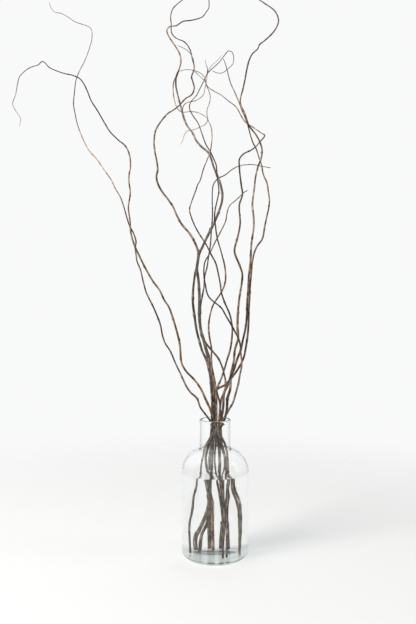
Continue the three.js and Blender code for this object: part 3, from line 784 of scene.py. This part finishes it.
# Joins the rings of a tube into faces, with a cut face at its foot and a blunt point at its tip
def closeTube(corners, reads, centre, radius, flatFoot):
    form = stemForm
    rings, count = corners.shape[:2]
    walls, here, beside = joinRings(rings, count)
    reads = {name: value.reshape(rings * count, -1) for name, value in reads.items()}
    corners = corners.reshape(-1, 3)
    if flatFoot:
        corners[:count, 2] += form["lean"] * (corners[:count, 0] - corners[:count, 0].min())
    last = 2 * centre[-1] - centre[-2]
    tip = centre[-1] + unit(last - centre[-1]) * radius[-1] * form["tipLength"]
    face = centre[0] + (corners[:count] - centre[0]) * form["cutSize"]
    face[:, 2] -= form["cutDepth"] if flatFoot else 0
    foot = face.mean(axis=0)
    start = rings * count
    for name, value in reads.items():
        ends = np.vstack([value[:count], value[:count].mean(axis=0), value[-1]])
        if name == "cut" and flatFoot:
            ends[:-1] = 1
        reads[name] = np.vstack([value, ends])
    faceRing = np.arange(start, start + count)
    faceNext = np.roll(faceRing, -1)
    walls += [[a, b, c, d] for a, b, c, d in zip(faceRing, faceNext, beside[0], here[0])]
    walls += [[start + count, b, a] for a, b in zip(faceRing, faceNext)]
    walls += [[start + count + 1, a, b] for a, b in zip(here[-1], beside[-1])]
    return np.vstack([corners, face, foot, tip]), walls, reads


def setAttribute(mesh, name, values):
    vector = values.shape[1] == 3
    attribute = mesh.attributes.new(name, "FLOAT_VECTOR" if vector else "FLOAT", "POINT")
    attribute.data.foreach_set("vector" if vector else "value", values.astype(np.float32).ravel())


def makeMesh(name, corners, faces, material):
    mesh = bpy.data.meshes.new(name)
    mesh.from_pydata((corners * millimetre).tolist(), [], faces)
    mesh.materials.append(material)
    mesh.polygons.foreach_set("use_smooth", [True] * len(mesh.polygons))
    mesh.update()
    piece = bpy.data.objects.new(name, mesh)
    bpy.context.scene.collection.objects.link(piece)
    return piece


def makeStem(node, stem, number):
    random = np.random.default_rng(stemForm["seed"] + number)
    twigs = [(twigPoints(stem, twig), twig) for twig in stem.get("twigs", [])]
    forks = [points[0] for points, twig in twigs]
    tones = stemTones[node]
    shift = number * stemForm["grainShift"]
    tubes = [barkTube(stemPoints(stem), stem["thick"], forks, random, tones, True, shift)]
    shift += stemForm["twigShift"]
    for points, twig in twigs:
        tubes.append(barkTube(points, twig["thick"], [], random, stemTones["twigs"], False, shift))
    corners, faces = [], []
    reads = {name: [] for name in tubes[0][2]}
    for tubeCorners, tubeFaces, tubeReads in tubes:
        start = sum(len(c) for c in corners)
        corners.append(tubeCorners)
        faces += [[corner + start for corner in face] for face in tubeFaces]
        for name, values in tubeReads.items():
            reads[name].append(values)
    piece = makeMesh(node + "_bark", np.vstack(corners), faces, barks[stem["bark"]])
    piece.data.set_sharp_from_angle(angle=stemForm["sharpAngle"])
    for name, values in reads.items():
        setAttribute(piece.data, name, np.vstack(values))
    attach(piece, "root")
    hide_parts(node)


for number, (node, stem) in enumerate(stems.items()):
    makeStem(node, stem, number)
print("stems made")


# Vase: clear blown glass, in millimetres, over the solid's own profile

vaseForm = {
    "height": 286,
    "bodyRadius": 70, "bodyTop": 177,
    "domeMiddle": 20, "neckFillet": 5,
    "heelRadius": 14, "footRadius": 56,
    "neckRadius": 32, "neckBottom": 234,
    "lipRadius": 33.2, "lipBottom": 277, "lipHeight": 4.6, "lipLeave": 1.6, "lipArrive": 2.2,
    "wall": 3.6, "base": 8,
    "puntRadius": 46, "puntEdge": 2, "punt": 2.4,
    "sides": 144,
    "waves": [[2, 0.22, 60], [5, 0.12, 37]],  # bumps round the wall, their depth and their climb
    "wavesGrow": [16, 60], "wavesFade": [150, 190],
    "outsideStart": 0.4, "insideStart": 1.9, "insideShare": 0.6,
}

glassLook = {
    "tint": (0.992, 0.997, 0.995),
    "depthTint": (0.74, 0.88, 0.84),
    "depth": 4.5,
    "shadow": (0.93, 0.95, 0.945),
    "ior": 1.33,  # less than glass has, which keeps its edges pale
    "specular": 0.3,
    "ripple": 0.35, "rippleDepth": 0.0012, "rippleScale": 22, "rippleStretch": 0.6,
    "smear": 0.12, "smearScale": 60, "smearStretch": 0.35,
    # Painted reflection: a faint white veil on the shoulder, in patches, standing in for the pale
    # surroundings mirrored on the sloping glass
    "paintedReflectionVeil": 0.075, "paintedReflectionStarts": (0.188, 0.208), "paintedReflectionEnds": (0.216, 0.236),
    "paintedReflectionPatches": (0.3, 0.6), "paintedReflectionRange": (0.7, 1),
    "paintedReflection": (0.9, 0.92, 0.93), "paintedReflectionDull": 0.6,
    "skins": 5,
}


def arc(centre, radius, start, end, steps):
    turns = np.radians(np.linspace(start, end, steps + 1))
    return [(centre[0] + radius[0] * math.cos(t), centre[1] + radius[1] * math.sin(t)) for t in turns]


def line(start, end, steps):
    return [tuple(p) for p in np.linspace(start, end, steps + 1)]


def bezier(a, b, c, d, steps):
    t = np.linspace(0, 1, steps + 1)[:, None]
    points = [np.array(p, float) for p in (a, b, c, d)]
    curve = points[0] * (1 - t) ** 3 + 3 * points[1] * t * (1 - t) ** 2 \
        + 3 * points[2] * t ** 2 * (1 - t) + points[3] * t ** 3
    return [tuple(p) for p in curve]


# A round dome from the top of a wall, then a fillet up into the neck
def shoulder(v, wall, neck):
    dome = wall - v["domeMiddle"]
    end = math.acos((neck + v["neckFillet"] - v["domeMiddle"]) / dome)
    points = arc((v["domeMiddle"], v["bodyTop"]), (dome, dome), 0, math.degrees(end), 30)
    last = points[-1]
    corner = (neck, last[1] + v["neckFillet"] / math.tan(end))
    top = (neck, v["neckBottom"])
    return points + bezier(last, corner, corner, top, 10)[1:]


# Half the vase's section, from the middle of its underside over its lip to the middle of its floor
def vaseProfile(v):
    inner = v["bodyRadius"] - v["wall"]
    innerNeck = v["neckRadius"] - v["wall"]
    innerHeel = v["heelRadius"] - v["wall"]
    lipMiddle = (v["lipRadius"] + innerNeck) / 2
    lipHalf = (v["lipRadius"] - innerNeck) / 2
    lipSpring = v["height"] - v["lipHeight"]
    punt = [(r, v["punt"] * (1 - (r / v["puntRadius"]) ** 2) ** 2)
            for r in np.linspace(0, v["puntRadius"], 14)]
    pieces = [
        punt,
        line((v["puntRadius"] + v["puntEdge"], 0), (v["footRadius"], 0), 3),
        arc((v["footRadius"], v["heelRadius"]), (v["heelRadius"], v["heelRadius"]), -90, 0, 12),
        line((v["bodyRadius"], v["heelRadius"]), (v["bodyRadius"], v["bodyTop"]), 22),
        shoulder(v, v["bodyRadius"], v["neckRadius"]),
        line((v["neckRadius"], v["neckBottom"]), (v["neckRadius"], v["lipBottom"]), 8),
        bezier((v["neckRadius"], v["lipBottom"]), (v["neckRadius"], v["lipBottom"] + v["lipLeave"]),
               (v["lipRadius"], lipSpring - v["lipArrive"]), (v["lipRadius"], lipSpring), 5),
        arc((lipMiddle, lipSpring), (lipHalf, v["height"] - lipSpring), 0, 180, 16),
        line((innerNeck, lipSpring), (innerNeck, v["neckBottom"]), 9),
        shoulder(v, inner, innerNeck)[::-1],
        line((inner, v["bodyTop"]), (inner, v["base"] + innerHeel), 20),
        arc((inner - innerHeel, v["base"] + innerHeel), (innerHeel, innerHeel), 0, -90, 10),
        line((inner - innerHeel, v["base"]), (0, v["base"]), 10),
    ]
    profile = []
    for point in (p for piece in pieces for p in piece):
        if not profile or math.dist(point, profile[-1]) > 0.01:
            profile.append(point)
    return np.array(profile)


# How uneven the blown walls are, as a depth in millimetres at each turn and height
def unevenness(v, turn, up, start):
    depths = np.zeros(np.broadcast(turn, up).shape)
    for number, (count, depth, pitch) in enumerate(v["waves"]):
        depths += depth * (0.5 + 0.5 * np.sin(count * turn + up / pitch + start + number))
    return depths * smoothStep(up, *v["wavesGrow"]) * (1 - smoothStep(up, *v["wavesFade"]))


def insideUnevenness(v, turn, up):
    return v["insideShare"] * unevenness(v, turn, up, v["insideStart"])


# The profile turned round the axis, its walls a little uneven
def makeVase(v):
    profile = vaseProfile(v)
    ring = profile[1:-1]
    turn = turnsRound(v["sides"])
    radius = ring[:, :1] + np.zeros_like(turn)
    up = ring[:, 1:] + np.zeros_like(turn)
    lip = int(np.argmax(ring[:, 1]))
    outside = (np.arange(len(ring)) < lip)[:, None]
    outsideDepth = unevenness(v, turn, up, v["outsideStart"])
    radius -= np.where(outside, outsideDepth, -insideUnevenness(v, turn, up))
    ends = profile[0][1], profile[-1][1]
    return turnedMesh("vase_glass_body", radius, turn, up, ends, makeGlass("vase_glass", glassLook))


# Rings of corners, from the first end on the axis to the last one, joined into a closed skin
def turnedMesh(name, radius, turn, up, ends, material):
    corners = np.stack([radius * np.cos(turn), radius * np.sin(turn), up], -1).reshape(-1, 3)
    faces, here, beside = joinRings(*radius.shape)
    corners = np.vstack([corners, [0, 0, ends[0]], [0, 0, ends[1]]])
    first, last = len(corners) - 2, len(corners) - 1
    faces += [[first, b, a] for a, b in zip(here[0], beside[0])]
    faces += [[last, a, b] for a, b in zip(here[-1], beside[-1])]
    return makeMesh(name, corners, faces, material)


def makeGlass(name, look):
    material, s = newMaterial(name)
    place = s.add("ShaderNodeTexCoord", None, None, "Object")
    ripples = s.noise(place * (1, 1, look["rippleStretch"]), look["rippleScale"], 2, 0.4)
    smears = s.noise(place * (1, 1, look["smearStretch"]), look["smearScale"], 3, 0.6)
    glass = s.add("ShaderNodeBsdfPrincipled", None, {
        "Base Color": (*look["tint"], 1),
        "Roughness": 0.0,
        "IOR": look["ior"],
        "Specular IOR Level": look["specular"],
        "Transmission Weight": 1.0,
        "Normal": s.bump(ripples + look["smear"] * smears, look["ripple"], look["rippleDepth"]),
    })
    # A dull white layer over the shoulder band is painted reflection, a veil in place of the surroundings
    # mirrored there
    paintedReflection = s.add("ShaderNodeBsdfPrincipled", None, {
        "Base Color": (*look["paintedReflection"], 1),
        "Roughness": look["paintedReflectionDull"],
    })
    up = s.add("ShaderNodeSeparateXYZ", None, {0: place}, 2)
    paintedReflectionVeil = s.level(up, *look["paintedReflectionStarts"]) * s.level(up, *look["paintedReflectionEnds"], 1, 0)
    paintedReflectionVeil = paintedReflectionVeil * s.level(smears, *look["paintedReflectionPatches"], *look["paintedReflectionRange"]) * look["paintedReflectionVeil"]
    glass = s.add("ShaderNodeMixShader", None, {0: paintedReflectionVeil, 1: glass, 2: paintedReflection})
    clearOutput(s, look, glass)
    return material


# A clear skin lets shadow rays pass, slightly dimmed, and also light that has crossed as many
# skins as its look says
def clearOutput(s, look, shading):
    dimmed = s.add("ShaderNodeBsdfTransparent", None, {"Color": (*look["shadow"], 1)})
    straight = s.add("ShaderNodeBsdfTransparent")
    shadowRay = s.add("ShaderNodeLightPath", None, None, "Is Shadow Ray")
    skins = s.add("ShaderNodeLightPath", None, None, "Transmission Depth")
    deep = s.level(skins, look["skins"] - 0.6, look["skins"] - 0.4)
    shading = s.add("ShaderNodeMixShader", None, {0: deep, 1: shading, 2: straight})
    surface = s.add("ShaderNodeMixShader", None, {0: shadowRay, 1: shading, 2: dimmed})
    volume = s.add("ShaderNodeVolumeAbsorption", None, {
        "Color": (*look["depthTint"], 1), "Density": look["depth"],
    })
    s.add("ShaderNodeOutputMaterial", None, {"Surface": surface, "Volume": volume})


vaseBody = makeVase(vaseForm)
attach(vaseBody, "root")
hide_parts("vase")
print("vase made")


# Water: a hair into the glass, so that no air shows between, and risen a little at the glass and
# round each stem

waterForm = {
    "top": 175,
    "into": 0.12,
    "middle": 10,
    "wallRise": 0.8, "wallReach": 1.6,
    "stemRise": 1.9, "stemReach": 1.3,
    "rings": 70,
}

waterLook = {
    "shadow": (0.985, 0.99, 0.99),
    "depthTint": (0.8, 0.9, 0.88),
    "depth": 0.6,
    "ior": 1.333,
    "ripple": 0.15, "rippleDepth": 0.0006, "rippleScale": 30,
    "skins": 4,
}


# Where a stem passes through the water's surface, and how thick it is there
def wetRing(stem):
    route = smoothRoute(stemPoints(stem), 1)
    steps = np.linalg.norm(np.diff(route, axis=0), axis=1)
    at = int(np.argmin(np.abs(route[:, 2] - waterForm["top"])))
    left = 1 - steps[:at].sum() / steps.sum()
    return route[at, 0], route[at, 1], thickAt(stem["thick"], left) / 2


# Up the water's side, then inward over its top
def makeWater(v, w):
    inner = v["bodyRadius"] - v["wall"] + w["into"]
    heel = v["heelRadius"] - v["wall"]
    floor = v["base"] - w["into"]
    side = np.array([
        *line((w["middle"], floor), (inner - heel, floor), 10),
        *arc((inner - heel, floor + heel), (heel, heel), -90, 0, 10)[1:],
        *line((inner, floor + heel), (inner, w["top"]), 20)[1:],
    ])
    turn = turnsRound(v["sides"])
    sideUp = side[:, 1:] + np.zeros_like(turn)
    sideRadius = side[:, :1] + insideUnevenness(v, turn, sideUp)
    inward = np.linspace(1, 0, w["rings"], endpoint=False)[:, None]
    topRadius = sideRadius[-1:] * inward
    across, back = topRadius * np.cos(turn), topRadius * np.sin(turn)
    rise = w["wallRise"] * np.exp((topRadius - inner) / w["wallReach"])
    for stemAcross, stemBack, half in map(wetRing, stems.values()):
        away = np.hypot(across - stemAcross, back - stemBack) - half
        rise += w["stemRise"] * np.exp(-np.maximum(0, away) / w["stemReach"])
    radius = np.vstack([sideRadius, topRadius])
    up = np.vstack([sideUp, w["top"] + rise])
    ends = floor, up[-1].mean()
    return turnedMesh("water_body", radius, turn, up, ends, makeWaterMaterial("water", waterLook))


def makeWaterMaterial(name, look):
    material, s = newMaterial(name)
    place = s.add("ShaderNodeTexCoord", None, None, "Object")
    water = s.add("ShaderNodeBsdfPrincipled", None, {
        "Base Color": (1, 1, 1, 1),
        "Roughness": 0.0,
        "IOR": look["ior"],
        "Transmission Weight": 1.0,
        "Normal": s.bump(s.noise(place, look["rippleScale"], 2), look["ripple"], look["rippleDepth"]),
    })
    clearOutput(s, look, water)
    return material


waterBody = makeWater(vaseForm, waterForm)
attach(waterBody, "root")
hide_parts("water")
print("water made")


# Studio: a pale floor that fades into pale surroundings, and large soft lamps

studio = {
    "floorRadius": 1.5, "floorSides": 96, "fadeStart": 0.3, "fadeEnd": 1.44,
    "floorColour": (0.84, 0.84, 0.84), "floorSpecular": 0.2,
    "floorGrain": 300, "grainBand": (0.3, 0.7), "floorDull": (0.6, 0.75),
    "surround": (0.965, 0.968, 0.972), "surroundStrength": 0.98,
    "fillStrength": 0.2, "mirroredShare": 0.75, "throughShare": 1.07,
}

lamps = {
    "keyLamp": {
        "place": (-2.8, -2.0, 2.6), "aim": (0, 0, 0.5), "size": (2.0, 2.0),
        "power": 170, "warmth": (1, 0.985, 0.96), "mirrored": False,
    },
    "sideLamp": {
        "place": (2.6, -0.4, 1.4), "aim": (0, 0, 0.6), "size": (0.9, 2.0),
        "power": 16, "warmth": (0.96, 0.98, 1), "mirrored": True,
    },
    "topLamp": {
        "place": (0.1, 0.6, 3.6), "aim": (0, 0.1, 0.4), "size": (2.6, 2.6),
        "power": 56, "warmth": (1, 1, 1), "mirrored": True,
    },
}


def makeFloor(look):
    bpy.ops.mesh.primitive_circle_add(
        vertices=look["floorSides"], radius=look["floorRadius"], fill_type="NGON")
    floor = bpy.context.object
    floor.name = "pale_floor"
    material, s = newMaterial("pale_floor")
    place = s.add("ShaderNodeTexCoord", None, None, "Object")
    far = s.add("ShaderNodeVectorMath", {"operation": "LENGTH"}, {0: place}, "Value")
    grain = s.noise(place, look["floorGrain"], 3)
    ground = s.add("ShaderNodeBsdfPrincipled", None, {
        "Base Color": (*look["floorColour"], 1),
        "Roughness": s.level(grain, *look["grainBand"], *look["floorDull"]),
        "Specular IOR Level": look["floorSpecular"],
    })
    clear = s.add("ShaderNodeBsdfTransparent")
    fading = s.add("ShaderNodeMapRange", {"interpolation_type": "SMOOTHSTEP"}, {
        "Value": far, "From Min": look["fadeStart"], "From Max": look["fadeEnd"],
    })
    surface = s.add("ShaderNodeMixShader", None, {0: fading, 1: ground, 2: clear})
    s.add("ShaderNodeOutputMaterial", None, {"Surface": surface})
    floor.data.materials.append(material)


# What is seen past the floor is brighter than the light that it gives and than what is mirrored
def makeSurround(look):
    world = bpy.data.worlds.new("paleSurround")
    world.use_nodes = True
    bpy.context.scene.world = world
    s = Shader(world.node_tree)
    cameraRay, glossyRay, throughRay, mirrors, skins = [
        s.add("ShaderNodeLightPath", None, None, output) for output in (
            "Is Camera Ray", "Is Glossy Ray", "Is Transmission Ray", "Glossy Depth",
            "Transmission Depth")]
    watched = s.level(cameraRay + glossyRay + throughRay, 0, 1)
    mirrored = s.level(mirrors, 0, 1)
    through = s.level(skins, 0, 2)
    strength = look["fillStrength"] + watched * (look["surroundStrength"] - look["fillStrength"])
    strength = strength * (1 - mirrored * (1 - look["mirroredShare"]))
    strength = strength * (1 + through * (look["throughShare"] - 1))
    backdrop = s.add("ShaderNodeBackground", None, {"Color": (*look["surround"], 1), "Strength": strength})
    s.add("ShaderNodeOutputWorld", None, {"Surface": backdrop})


def makeLamp(name, lamp):
    data = bpy.data.lights.new(name, "AREA")
    data.shape = "RECTANGLE"
    data.size, data.size_y = lamp["size"]
    data.energy = lamp["power"]
    data.color = lamp["warmth"]
    piece = bpy.data.objects.new(name, data)
    piece.location = lamp["place"]
    direction = np.array(lamp["aim"]) - np.array(lamp["place"])
    turn = math.atan2(direction[1], direction[0]) - math.pi / 2
    tilt = math.atan2(math.hypot(direction[0], direction[1]), -direction[2])
    piece.rotation_euler = (tilt, 0, turn)
    piece.visible_camera = False
    piece.visible_glossy = lamp["mirrored"]
    piece.visible_transmission = False
    bpy.context.scene.collection.objects.link(piece)


makeFloor(studio)
makeSurround(studio)
for name, lamp in lamps.items():
    makeLamp(name, lamp)
bpy.context.scene.view_settings.view_transform = "Standard"
print("studio set")
